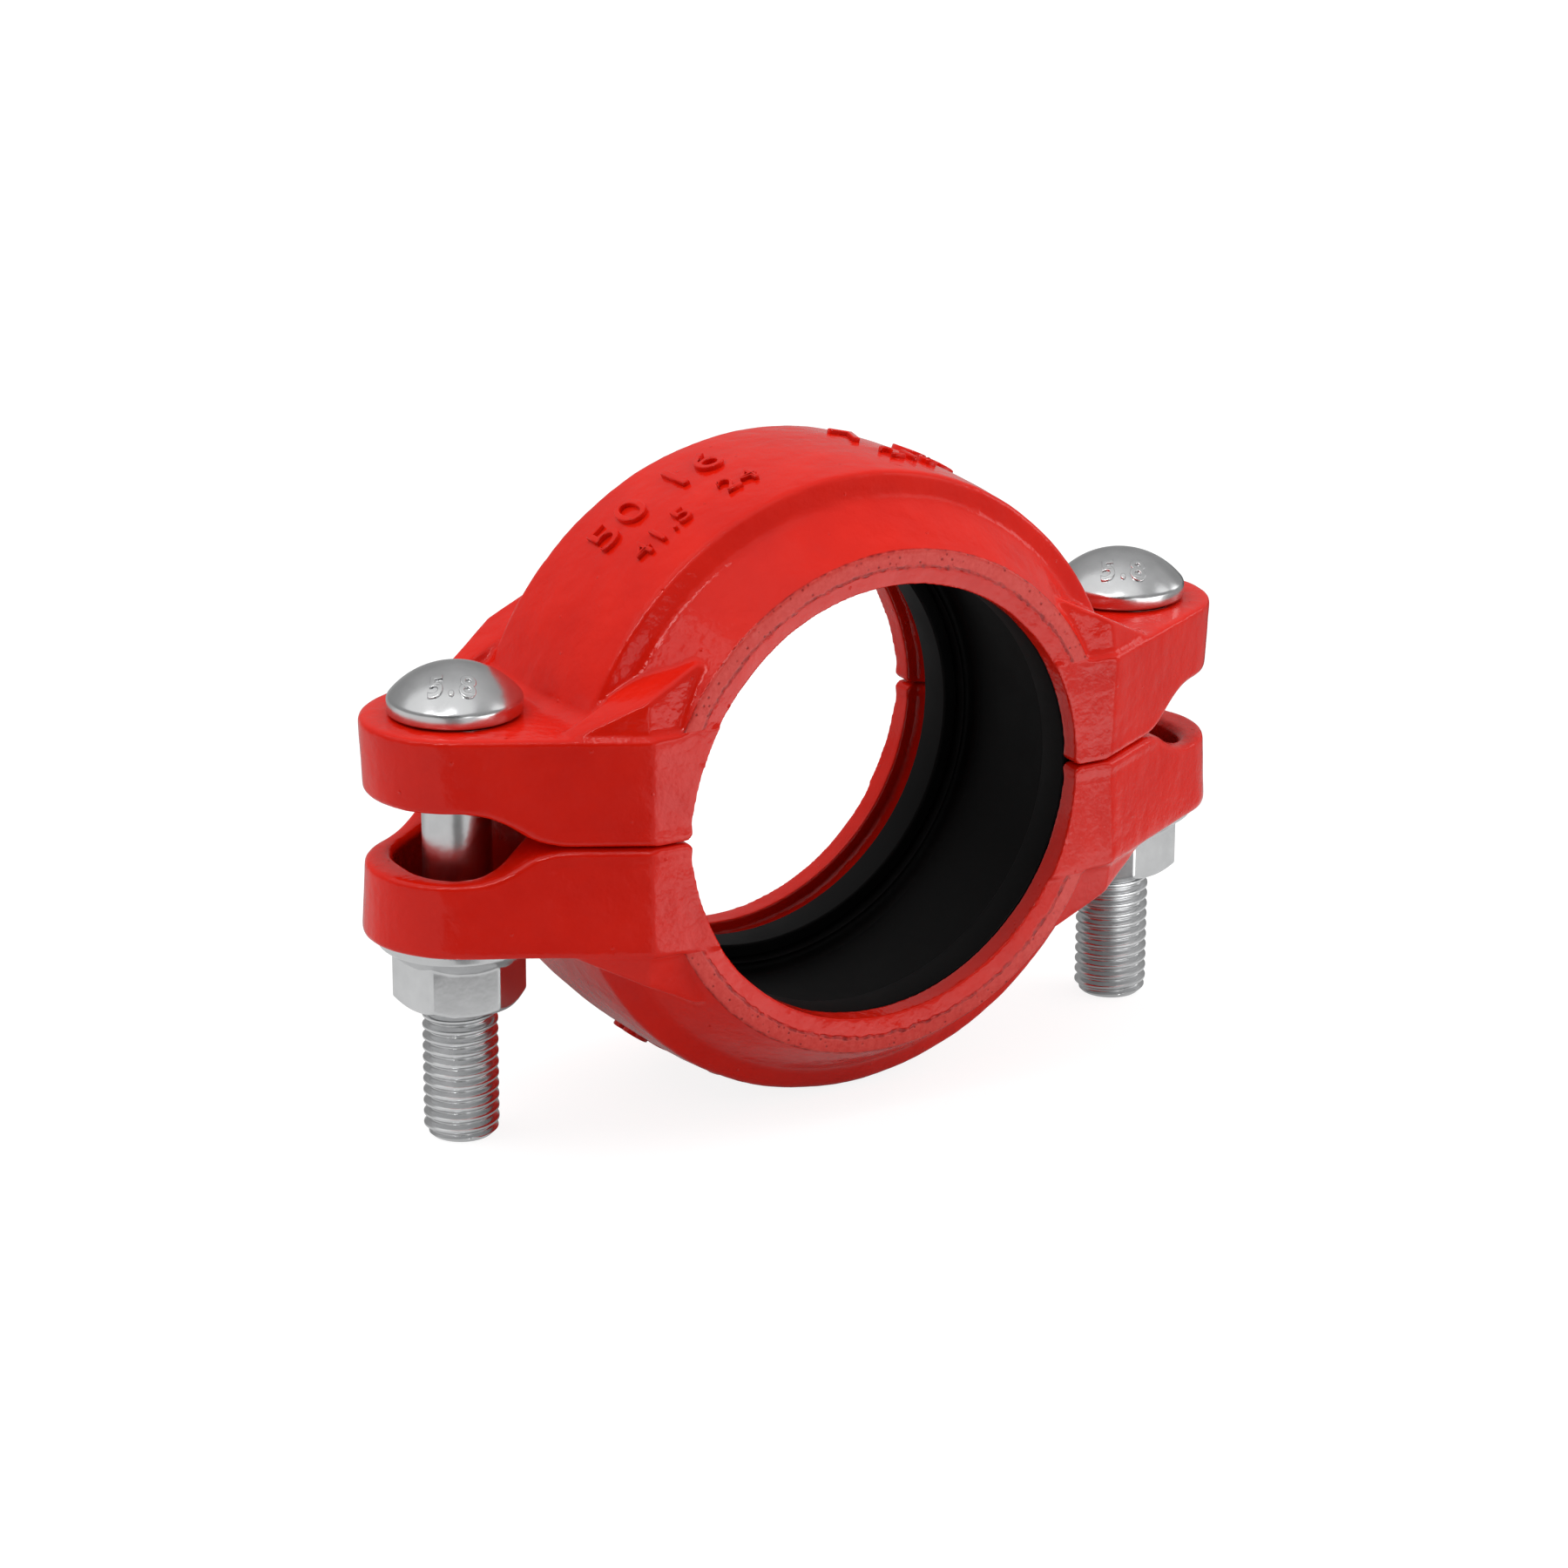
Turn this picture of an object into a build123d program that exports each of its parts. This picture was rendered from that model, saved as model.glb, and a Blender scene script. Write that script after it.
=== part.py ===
from build123d import *
import os
from math import asin, degrees, radians, sqrt, tan

# Grooved pipe coupling for 2 inch pipe, millimetres.
# The pipe axis is Y, the bolts stand along Z, and the two housings part at z = 0.

# Pipe that the coupling joins
PIPE_DIAMETER = 60.3
GROOVE_DIAMETER = 57.15

# Ring of each housing, as a section turned about the pipe axis
KEY_PLAY = 0.325
RING_WIDTH = 45.8
KEY_WIDTH = 4.0
KEY_END_ROUND = 1.2
LEAD_IN_HEIGHT = 2.6
LEAD_IN_DEPTH = 0.5
RIM_HEIGHT = 2.2
RIM_DEPTH = 0.15
CROWN_RADIUS = 42.45
CROWN_WIDTH = 26.8
CROWN_BULGE = 0.6
CROWN_STEP = 3.15
CROWN_WALL_LEAN = 1.2
CROWN_EDGE_ROUND = 1.1
CROWN_FOOT_ROUND = 2.0

# Ears that carry the bolts
BOLT_SPACING = 101.6
PAD_GAP = 0.2
EAR_FACE_HEIGHT = 14.7
EAR_NOSE_RADIUS = 12.5
EAR_ROOT_HALF_LENGTH = 35.0
EAR_DRAFT = 3.0
EAR_EDGE_ROUND = 0.9
RELIEF_EDGE_CHAMFER = 0.6
PAD_HALF_LENGTH = 43.0
RELIEF_DEPTH = 4.3
RELIEF_RUN = 13.0

# Webs that run up from the ears to the rim, and the round at the foot of the crown
WEB_LEDGE = 0.9
WEB_DRAFT = 8.0
WEB_FOOT_SETBACK = 7.2
WEB_SLOPE = 27.0
WEB_END = 25.5
WEB_INNER_HALF_WIDTH = 14.2
WEB_END_DROP = 2.2
WEB_END_RUN = 1.8
WEB_EDGE_ROUND = 0.6
SEAT_ROUND = 2.4
SEAT_DEPTH = 1.0
SEAT_CLEARANCE = 0.3

# Oval bolt holes, wider towards the pads as they are cast
HOLE_CLEARANCE = 0.5
HOLE_DRAFT = 9.5
HOLE_MOUTH_CHAMFER = 0.8

# Rubber gasket
LIP_SQUEEZE = 0.85
LIP_WIDTH = 5.0
LIP_THICKNESS = 2.0
GASKET_WIDTH = 33.8
GASKET_RADIUS = 35.4
GASKET_CROWN_WIDTH = 20.0
GASKET_SIDE_HEIGHT = 0.85
GASKET_WALL = 2.3
GASKET_SIDE_CLEARANCE = 0.2
GASKET_CLEARANCE = 0.3

# Oval neck bolts
BOLT_LENGTH = 57.15
THREAD_DIAMETER = 9.8
THREAD_LENGTH = 30.0
THREAD_TIP_CHAMFER = 1.1
SHANK_DIAMETER = 9.0
NECK_WIDTH = 10.0
NECK_LENGTH = 14.0
NECK_DEPTH = 7.0
HEAD_DIAMETER = 17.4
HEAD_HEIGHT = 6.3
HEAD_RIM_HEIGHT = 2.0
HEAD_RIM_ROUND = 0.7

# Flange nuts
NUT_ACROSS_FLATS = 15.0
NUT_HEIGHT = 9.4
NUT_CORNER_CHAMFER = 0.9
NUT_END_INSET = 0.2
FLANGE_DIAMETER = 20.8
FLANGE_EDGE_HEIGHT = 1.2
FLANGE_SLOPE_HEIGHT = 3.2
FLANGE_TOP_DIAMETER = 15.6
THREAD_FIT = 0.05
NUT_MOUTH_CHAMFER = 0.8
LEFT_NUT_TURN = 39.0
RIGHT_NUT_TURN = 15.0

# Two places nearer than this count as the same
NEAR = 0.01

# Values worked out from the ones above
key_radius = GROOVE_DIAMETER / 2 + KEY_PLAY
lip_radius = PIPE_DIAMETER / 2 - LIP_SQUEEZE
ring_half_width = RING_WIDTH / 2
key_inner_face = ring_half_width - KEY_WIDTH
bolt_x = BOLT_SPACING / 2
pad_height = PAD_GAP / 2
relief_height = pad_height + RELIEF_DEPTH
web_foot = bolt_x - WEB_FOOT_SETBACK
gasket_shift = key_inner_face - GASKET_WIDTH / 2 - GASKET_SIDE_CLEARANCE
cavity_clearance = GASKET_CLEARANCE + PAD_GAP
cavity_radius = GASKET_RADIUS + cavity_clearance
cavity_half_width = GASKET_CROWN_WIDTH / 2 + gasket_shift + GASKET_SIDE_CLEARANCE
cavity_side_radius = lip_radius + GASKET_SIDE_HEIGHT + cavity_clearance
ear_face = Plane.XY.offset(EAR_FACE_HEIGHT)


def mirrored(half):
    """Points of a half outline, carried on through their mirror image in the X axis."""
    return half + [(x, -y) for x, y in reversed(half)]


def ring_section():
    """Section of the ring, X as the radius and Y along the pipe."""
    ridge = key_radius + LEAD_IN_HEIGHT
    rim = ridge + RIM_HEIGHT
    edge = CROWN_RADIUS - CROWN_BULGE
    foot = edge - CROWN_STEP
    crown_y = CROWN_WIDTH / 2
    inside = key_radius - LEAD_IN_HEIGHT
    front = [
        (inside, -(ring_half_width - 2 * LEAD_IN_DEPTH)),
        (ridge, -ring_half_width),
        (rim, -(ring_half_width - RIM_DEPTH)),
        (foot, -(crown_y + CROWN_WALL_LEAN)),
        (edge, -crown_y),
    ]
    walls = Polyline(front) + Polyline([(x, -y) for x, y in front])
    crown = ThreePointArc((edge, -crown_y), (CROWN_RADIUS, 0), (edge, crown_y))
    back = Line((inside, front[0][1]), (inside, -front[0][1]))
    section = make_face(walls + crown + back)
    edges = [v for v in section.vertices() if abs(v.X - edge) < NEAR]
    section = fillet(edges, CROWN_EDGE_ROUND)
    feet = [v for v in section.vertices() if abs(v.X - foot) < NEAR]
    return fillet(feet, CROWN_FOOT_ROUND)


def ear_outline(inset=0.0):
    """Outline of both ears at their outer face, with the ring's two faces, drawn smaller by the inset."""
    radius = EAR_NOSE_RADIUS - inset
    corner = Vector(EAR_ROOT_HALF_LENGTH, ring_half_width - inset)
    side = Vector(bolt_x, 0) - corner
    run = sqrt(side.length ** 2 - radius ** 2)
    swing = degrees(asin(radius / side.length))
    touch = corner + side.normalized().rotate(Axis.Z, swing) * run
    x, y = touch.X, touch.Y
    nose = bolt_x + radius
    lines = [
        Polyline((-x, y), (-corner.X, corner.Y), (corner.X, corner.Y), (x, y)),
        ThreePointArc((x, y), (nose, 0), (x, -y)),
        Polyline((x, -y), (corner.X, -corner.Y), (-corner.X, -corner.Y), (-x, -y)),
        ThreePointArc((-x, -y), (-nose, 0), (-x, y)),
    ]
    return ear_face * make_face(lines)


def leaning(block, angle):
    """The block with its upright sides leaning inwards above the ears' face, and outwards below it."""
    sides = [f for f in block.faces() if abs(f.normal_at().Z) < NEAR]
    return draft(sides, ear_face, angle)


def relief():
    """Space under the end of an ear, where it curves away from the pad plane."""
    start = (PAD_HALF_LENGTH, pad_height)
    middle = (PAD_HALF_LENGTH + RELIEF_RUN / 2, pad_height + RELIEF_DEPTH / 2)
    end = (PAD_HALF_LENGTH + RELIEF_RUN, relief_height)
    past = bolt_x + 2 * EAR_NOSE_RADIUS
    lower = TangentArc(start, middle, tangent=(1, 0))
    upper = TangentArc(middle, end, tangent=lower % 1)
    rest = Polyline(end, (past, end[1]), (past, -pad_height), (PAD_HALF_LENGTH, -pad_height), start)
    face = make_face(Plane.XZ * (lower + upper + rest))
    return extrude(face, amount=RING_WIDTH, both=True)


def ear_block():
    """Slab of both ears, with its draft, its relieved ends, its broken edges and its bolt holes."""
    slab = extrude(ear_outline(), amount=pad_height - EAR_FACE_HEIGHT)
    slab = leaning(slab, -EAR_DRAFT)
    ends = relief()
    slab -= ends
    slab -= ends.mirror(Plane.YZ)
    ear_edges = [e for e in slab.edges() if abs(e.center().X) > PAD_HALF_LENGTH]
    upper = [e for e in ear_edges if e.center().Z > EAR_FACE_HEIGHT - NEAR]
    slab = fillet(upper, EAR_EDGE_ROUND)
    ear_edges = [e for e in slab.edges() if abs(e.center().X) > PAD_HALF_LENGTH]
    lower = [e for e in ear_edges if e.center().Z < relief_height + NEAR]
    slab = chamfer([e for e in lower if e.geom_type != GeomType.LINE], RELIEF_EDGE_CHAMFER)
    hole = bolt_hole()
    drilled = slab - hole - hole.mirror(Plane.YZ)
    hole_edges = new_edges(slab, combined=drilled)
    mouths = [e for e in hole_edges if e.center().Z < relief_height + NEAR]
    return chamfer(mouths, HOLE_MOUTH_CHAMFER)


def web():
    """One of the four webs, at the front right."""
    top_x = WEB_END + WEB_END_RUN
    rise = (web_foot - top_x) * tan(radians(WEB_SLOPE))
    top_z = EAR_FACE_HEIGHT + rise
    body = leaning(extrude(ear_outline(WEB_LEDGE), amount=rise), WEB_DRAFT)
    side = Plane.XZ * make_face(Polyline(
        (web_foot, EAR_FACE_HEIGHT),
        (top_x, top_z),
        (WEB_END, top_z - WEB_END_DROP),
        (WEB_END, EAR_FACE_HEIGHT),
        close=True,
    ))
    prism = extrude(side, amount=ring_half_width)
    prism -= Box(4 * bolt_x, 2 * WEB_INNER_HALF_WIDTH, 4 * CROWN_RADIUS)
    body &= prism
    above_ear = [e for e in body.edges() if e.center().Z > EAR_FACE_HEIGHT + NEAR]
    crest = [e for e in above_ear if e.center().X > top_x + NEAR]
    return fillet(crest, WEB_EDGE_ROUND)


def seat_round():
    """Round where the crown runs down to the right ear's face."""
    crown_foot = sqrt(CROWN_RADIUS ** 2 - EAR_FACE_HEIGHT ** 2)
    start_x = crown_foot + SEAT_ROUND
    top_z = EAR_FACE_HEIGHT + SEAT_ROUND
    top_x = sqrt((CROWN_RADIUS - 2 * CROWN_BULGE) ** 2 - top_z ** 2)
    base_z = EAR_FACE_HEIGHT - SEAT_DEPTH
    face = make_face([
        TangentArc((start_x, EAR_FACE_HEIGHT), (top_x, top_z), tangent=(-1, 0)),
        Polyline((top_x, top_z), (top_x, base_z), (start_x, base_z), (start_x, EAR_FACE_HEIGHT)),
    ])
    return extrude(Plane.XZ * face, amount=WEB_INNER_HALF_WIDTH + WEB_LEDGE, both=True)


def seat_space():
    """Space over the right ear's face that stays clear for the bolt head or the nut."""
    spot = ear_face * Location((bolt_x, 0)) * Circle(FLANGE_DIAMETER / 2 + SEAT_CLEARANCE)
    return extrude(spot, amount=max(HEAD_HEIGHT, NUT_HEIGHT) + SEAT_CLEARANCE)


def bolt_hole():
    """Oval hole at the right, tapering wider from the ear's outer face to the pads."""
    length = NECK_LENGTH + 2 * HOLE_CLEARANCE
    width = NECK_WIDTH + 2 * HOLE_CLEARANCE
    oval = ear_face * Location((bolt_x, 0)) * SlotOverall(length, width, rotation=90)
    straight = extrude(oval, amount=-EAR_FACE_HEIGHT)
    return leaning(straight, HOLE_DRAFT)


def cavity():
    """Space inside the ring for the gasket, turned about the pipe axis."""
    half = [
        (0, -key_inner_face),
        (cavity_side_radius, -key_inner_face),
        (cavity_radius, -cavity_half_width),
    ]
    return revolve(make_face(Polyline(mirrored(half), close=True)), Axis.Y, 360)


def with_round_key_ends(body):
    """The housing with each key rounded off where it ends at a pad."""
    reach = sqrt(key_radius ** 2 - pad_height ** 2)
    on_pads = [e for e in body.edges() if e.center().Z < pad_height + NEAR]
    return fillet([e for e in on_pads if abs(abs(e.center().X) - reach) < NEAR], KEY_END_ROUND)


def housing():
    """Upper housing: half a ring with two keys inside and an ear at each end."""
    clear = seat_space()
    clear += clear.mirror(Plane.YZ)
    seat = seat_round()
    ring = revolve(ring_section(), Axis.Y, 360)
    above = Location((0, 0, EAR_FACE_HEIGHT + CROWN_RADIUS)) * Box(4 * bolt_x, 4 * bolt_x, 2 * CROWN_RADIUS)
    body = (ring & above) - clear
    body += ear_block()
    right_web = web()
    front_webs = right_web + right_web.mirror(Plane.YZ)
    body += front_webs + front_webs.mirror(Plane.XZ)
    body += seat + seat.mirror(Plane.YZ) - clear
    body -= Rotation(90, 0, 0) * Cylinder(key_radius, 2 * RING_WIDTH)
    return with_round_key_ends(body - cavity())


def gasket():
    """C-shaped rubber ring with two lips that grip the pipe ends."""
    half_width = GASKET_WIDTH / 2
    crown_y = GASKET_CROWN_WIDTH / 2
    side_radius = lip_radius + GASKET_SIDE_HEIGHT
    outer = [(lip_radius, -half_width), (side_radius, -half_width), (GASKET_RADIUS, -crown_y)]
    lip_end = half_width - LIP_WIDTH
    inner_radius = GASKET_RADIUS - GASKET_WALL
    inner = [
        (lip_radius, lip_end),
        (lip_radius + LIP_THICKNESS, lip_end),
        (lip_radius + LIP_THICKNESS, lip_end + GASKET_WALL / 2),
        (inner_radius, crown_y - GASKET_WALL / 2),
    ]
    section = make_face(Polyline(mirrored(outer) + mirrored(inner), close=True))
    ring = revolve(section, Axis.Y, 360)
    return Location((0, -gasket_shift, 0)) * ring


def bolt():
    """Oval neck bolt under a low domed head, its head seated on the ear's outer face."""
    radius = HEAD_DIAMETER / 2
    section = make_face([
        Polyline((0, HEAD_HEIGHT), (0, 0), (radius, 0), (radius, HEAD_RIM_HEIGHT)),
        TangentArc((0, HEAD_HEIGHT), (radius, HEAD_RIM_HEIGHT), tangent=(1, 0)),
    ])
    corner = [v for v in section.vertices() if v.X > radius / 2 and v.Y > HEAD_RIM_HEIGHT / 2]
    head = revolve(Plane.XZ * fillet(corner, HEAD_RIM_ROUND), Axis.Z, 360)
    neck = extrude(SlotOverall(NECK_LENGTH, NECK_WIDTH, rotation=90), amount=-NECK_DEPTH)
    shank = extrude(Circle(SHANK_DIAMETER / 2), amount=-BOLT_LENGTH)
    tip = Plane.XY.offset(-BOLT_LENGTH)
    thread = extrude(tip * Circle(THREAD_DIAMETER / 2), amount=THREAD_LENGTH)
    thread = chamfer(thread.edges().group_by(Axis.Z)[0], THREAD_TIP_CHAMFER)
    core = shank - extrude(tip * Rectangle(BOLT_LENGTH, BOLT_LENGTH), amount=THREAD_LENGTH)
    return Location((0, 0, EAR_FACE_HEIGHT)) * (head + neck + core + thread)


def nut(turn):
    """Hexagon nut with a conical flange, seated under the lower ear."""
    flat = NUT_ACROSS_FLATS / 2
    hexagon = extrude(RegularPolygon(flat, 6, major_radius=False, rotation=turn), amount=-NUT_HEIGHT)
    corner = NUT_ACROSS_FLATS / sqrt(3)
    chamfer_foot = -NUT_HEIGHT + NUT_CORNER_CHAMFER
    cone = revolve(make_face(Plane.XZ * Polyline(
        (0, 0),
        (2 * corner, 0),
        (2 * corner, chamfer_foot),
        (corner, chamfer_foot),
        (flat - NUT_END_INSET, -NUT_HEIGHT),
        (0, -NUT_HEIGHT),
        close=True,
    )), Axis.Z, 360)
    body = hexagon & cone
    flange = revolve(make_face(Plane.XZ * Polyline(
        (0, 0),
        (FLANGE_DIAMETER / 2, 0),
        (FLANGE_DIAMETER / 2, -FLANGE_EDGE_HEIGHT),
        (FLANGE_TOP_DIAMETER / 2, -FLANGE_SLOPE_HEIGHT),
        (0, -FLANGE_SLOPE_HEIGHT),
        close=True,
    )), Axis.Z, 360)
    body += flange
    bore = THREAD_DIAMETER / 2 + THREAD_FIT
    mouth = bore + NUT_MOUTH_CHAMFER
    body -= revolve(make_face(Plane.XZ * Polyline(
        (0, 0),
        (mouth, 0),
        (bore, -NUT_MOUTH_CHAMFER),
        (bore, -NUT_HEIGHT + NUT_MOUTH_CHAMFER),
        (mouth, -NUT_HEIGHT),
        (0, -NUT_HEIGHT),
        close=True,
    )), Axis.Z, 360)
    return body


upper_housing = housing()
lower_housing = upper_housing.rotate(Axis.Y, 180)
nut_seat = -EAR_FACE_HEIGHT

parts = {
    "upper_housing": upper_housing,
    "lower_housing": lower_housing,
    "gasket": gasket(),
    "left_bolt": Location((-bolt_x, 0, 0)) * bolt(),
    "right_bolt": Location((bolt_x, 0, 0)) * bolt(),
    "left_nut": Location((-bolt_x, 0, nut_seat)) * nut(LEFT_NUT_TURN),
    "right_nut": Location((bolt_x, 0, nut_seat)) * nut(RIGHT_NUT_TURN),
}

os.makedirs("parts", exist_ok=True)
for name, shape in parts.items():
    export_step(shape, f"parts/{name}.step")
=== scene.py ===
from math import atan2, cos, pi, radians, sin, sqrt, tan

import bpy
import numpy as np
from mathutils import Matrix, Vector


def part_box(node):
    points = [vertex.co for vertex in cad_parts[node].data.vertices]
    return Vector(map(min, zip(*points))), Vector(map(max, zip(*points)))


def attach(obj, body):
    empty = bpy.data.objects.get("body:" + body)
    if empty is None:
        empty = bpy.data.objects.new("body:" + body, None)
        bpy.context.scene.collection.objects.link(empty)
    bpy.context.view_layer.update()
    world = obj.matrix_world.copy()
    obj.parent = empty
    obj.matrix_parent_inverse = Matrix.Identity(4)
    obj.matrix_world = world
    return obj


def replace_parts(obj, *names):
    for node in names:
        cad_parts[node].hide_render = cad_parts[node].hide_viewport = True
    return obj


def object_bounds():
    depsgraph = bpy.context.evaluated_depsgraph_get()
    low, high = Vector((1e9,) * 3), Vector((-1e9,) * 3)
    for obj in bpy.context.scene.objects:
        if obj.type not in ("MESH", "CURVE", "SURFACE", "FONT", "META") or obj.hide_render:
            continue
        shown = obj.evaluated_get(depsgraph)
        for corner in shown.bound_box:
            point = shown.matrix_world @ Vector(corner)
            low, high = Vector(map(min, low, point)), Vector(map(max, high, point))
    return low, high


# Looks of a grooved pipe coupling: red painted castings, plated bolts and nuts, rubber gasket.
# The pipe axis is Y, the bolts stand along Z, and every length here is in metres.

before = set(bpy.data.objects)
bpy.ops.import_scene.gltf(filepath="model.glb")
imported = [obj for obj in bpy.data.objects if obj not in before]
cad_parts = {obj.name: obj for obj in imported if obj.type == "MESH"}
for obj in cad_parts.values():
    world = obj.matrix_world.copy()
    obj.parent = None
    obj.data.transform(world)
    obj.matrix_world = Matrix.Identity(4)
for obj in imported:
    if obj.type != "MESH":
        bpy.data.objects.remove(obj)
cad_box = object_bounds()

MM = 0.001

# Photograph's camera, as it looks at the middle of the bore
CAMERA_AZIMUTH = -31.2319
CAMERA_ELEVATION = 18.7690
CAMERA_ROLL = 0.2520
CAMERA_DISTANCE = 0.685343
CAMERA_ASIDE = -0.00193685
CAMERA_RISE = -0.00365076
SENSOR = 36.0
PHOTO_WIDTH = 1800
PHOTO_FOCAL = 5973.571
LENS = PHOTO_FOCAL / PHOTO_WIDTH * SENSOR

# Castings
CROWN_RADIUS = 42.45 * MM
CROWN_HALF_WIDTH = 13.4 * MM
CROWN_BULGE = 0.6 * MM
CASTING_VOXEL = 0.29 * MM
CASTING_TRIANGLES = 172000
CASTING_PASSES = 3
SKIN_PASSES = 7
ROOT_PASSES = 60
RIM_INNER = 31.5 * MM
RIM_OUTER = 33.7 * MM
RIM_FACE = 22.3 * MM

# Flats of a casting that keep their edges, and the upright edge where an ear leaves the end face
FLAT_RIM_FACE = 22.0 * MM
FLAT_RIM_OUTER = 34.5 * MM
FLAT_PAD_HEIGHT = 1.0 * MM
ROOT_START = 35.0 * MM
ROOT_END = 45.0 * MM
ROOT_FACE = 17.0 * MM
ROOT_LOW = 1.5 * MM
ROOT_HIGH = 13.2 * MM

# Raised digits on the crowns: figures, size, first angle from the apex in degrees, place along the pipe
LARGE = 8.5 * MM
SMALL = 5.0 * MM
LARGE_ROW = 1.2 * MM
SMALL_ROW = -6.6 * MM
DIGITS = [
    ("50", LARGE, -42, LARGE_ROW),
    ("16", LARGE, -25.5, LARGE_ROW),
    ("41.5", SMALL, -40, SMALL_ROW),
    ("24", SMALL, -20.5, SMALL_ROW),
    ("7", LARGE, 11, LARGE_ROW),
    ("08", LARGE, 24, LARGE_ROW),
    ("216", SMALL, 13, SMALL_ROW),
]
DIGIT_HEIGHT = 0.65 * MM
DIGIT_FOOT = 0.6 * MM
DIGIT_ROUND = 0.34 * MM
DIGIT_THIN = 0.14 * MM

# Bolts and nuts
BOLT_X = 50.8 * MM
SEAT_Z = 14.7 * MM
BOLT_LENGTH = 57.15 * MM
HEAD_RADIUS = 8.7 * MM
HEAD_HEIGHT = 6.3 * MM
HEAD_RIM_HEIGHT = 2.0 * MM
HEAD_RIM_ROUND = 1.2 * MM
HEAD_FOOT_ROUND = 0.5 * MM
GRADE = "5.8"
GRADE_SIZE = 4.3 * MM
GRADE_REACH = 6.6 * MM
GRADE_HALF_THICKNESS = 0.3 * MM
GRADE_ROUND = 0.12 * MM
GRADE_SINK = 0.14 * MM
NECK_DEPTH = 7.0 * MM
NECK_WIDTH = 10.0 * MM
NECK_LENGTH = 14.0 * MM
NECK_EDGE = 0.5 * MM
NECK_IN_HEAD = 0.2 * MM
HOLE_HALF_WIDTH = 5.5 * MM
HOLE_STRAIGHT = 2.0 * MM
HOLE_TAPER = tan(radians(9.5))
SHANK_RADIUS = 4.5 * MM
SHANK_OVERLAP = 1.0 * MM
THREAD_RADIUS = 4.9 * MM
THREAD_LENGTH = 30.0 * MM
THREAD_DEPTH = 0.86 * MM
THREAD_PITCH = 1.5 * MM
THREAD_TIP = 0.9 * MM
NUT_VOXEL = 0.15 * MM
NUT_TRIANGLES = 60000
NUT_PASSES = 5

# Gasket, at rest
LIP_RADIUS = 29.3 * MM
LIP_SLOPE = 0.85 * MM
LIP_LENGTH = 5.0 * MM
LIP_THICKNESS = 2.0 * MM
BACK_HALF_WIDTH = 10.0 * MM
WALL_THICKNESS = 2.3 * MM
CORNER_ROUNDS = [r * MM for r in (0.25, 0.4, 1.2, 1.2, 0.4, 0.25, 0.3, 0.4, 0.6, 1.0, 1.0, 0.6, 0.4, 0.3)]


# Meshes


def new_piece(name, mesh):
    """Object for a mesh that is already in its place."""
    piece = bpy.data.objects.new(name, mesh)
    bpy.context.scene.collection.objects.link(piece)
    return piece


def baked(piece):
    """The piece with its modifiers turned into plain mesh."""
    graph = bpy.context.evaluated_depsgraph_get()
    mesh = bpy.data.meshes.new_from_object(piece.evaluated_get(graph))
    piece.modifiers.clear()
    piece.data = mesh
    return piece


def shell_mesh(name, points, faces):
    """Mesh of a closed shell from its points and faces."""
    mesh = bpy.data.meshes.new(name)
    mesh.from_pydata([tuple(p) for p in points], [], faces)
    mesh.update()
    return mesh


def joined(name, meshes):
    """One mesh of several shells."""
    points, faces, start = [], [], 0
    for mesh in meshes:
        points += [tuple(v.co) for v in mesh.vertices]
        faces += [tuple(start + i for i in f.vertices) for f in mesh.polygons]
        start += len(mesh.vertices)
    return shell_mesh(name, points, faces)


def merged_copy(node):
    """Copy of a CAD node's mesh with its loose triangles joined."""
    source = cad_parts[node].data
    places, index = {}, []
    for v in source.vertices:
        key = tuple(round(c * 1e6) for c in v.co)
        index.append(places.setdefault(key, len(places)))
    points = [tuple(c * 1e-6 for c in key) for key in places]
    faces = []
    for f in source.polygons:
        corners = tuple(index[i] for i in f.vertices)
        if len(set(corners)) == len(corners):
            faces.append(corners)
    return shell_mesh(node + "_shell", points, faces)


def softened(piece, voxel, passes, rounders=()):
    """Rebuilds the piece as an even mesh with small rounds on its edges, larger where asked."""
    remesh = piece.modifiers.new("even", "REMESH")
    remesh.mode = "VOXEL"
    remesh.voxel_size = voxel
    baked(piece)
    smooth = piece.modifiers.new("rounds", "SMOOTH")
    smooth.factor = 0.5
    smooth.iterations = passes
    places = np.empty(3 * len(piece.data.vertices))
    piece.data.vertices.foreach_get("co", places)
    for rounder, more in rounders:
        chosen = np.nonzero(rounder(places.reshape(-1, 3)))[0]
        group = piece.vertex_groups.new(name=rounder.__name__)
        group.add(chosen.tolist(), 1.0, "REPLACE")
        second = piece.modifiers.new(group.name, "SMOOTH")
        second.factor = 0.5
        second.iterations = more
        second.vertex_group = group.name
    baked(piece)
    piece.vertex_groups.clear()
    return piece


def thinned(piece, triangles):
    """The piece with no more triangles than it needs."""
    count = sum(len(f.vertices) - 2 for f in piece.data.polygons)
    if count > triangles:
        thin = piece.modifiers.new("thin", "DECIMATE")
        thin.ratio = triangles / count
        baked(piece)
    return piece


def shaded(piece, angle=None):
    """Smooth shading, with edges sharper than the angle kept crisp."""
    mesh = piece.data
    mesh.polygons.foreach_set("use_smooth", [True] * len(mesh.polygons))
    if angle is not None:
        mesh.set_sharp_from_angle(angle=radians(angle))
    return piece


def arc(centre, radius, start, end, steps):
    """Points of an arc in a profile's plane, with its angles in degrees."""
    angles = np.radians(np.linspace(start, end, steps + 1))
    return [(centre[0] + radius * cos(a), centre[1] + radius * sin(a)) for a in angles]


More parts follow.
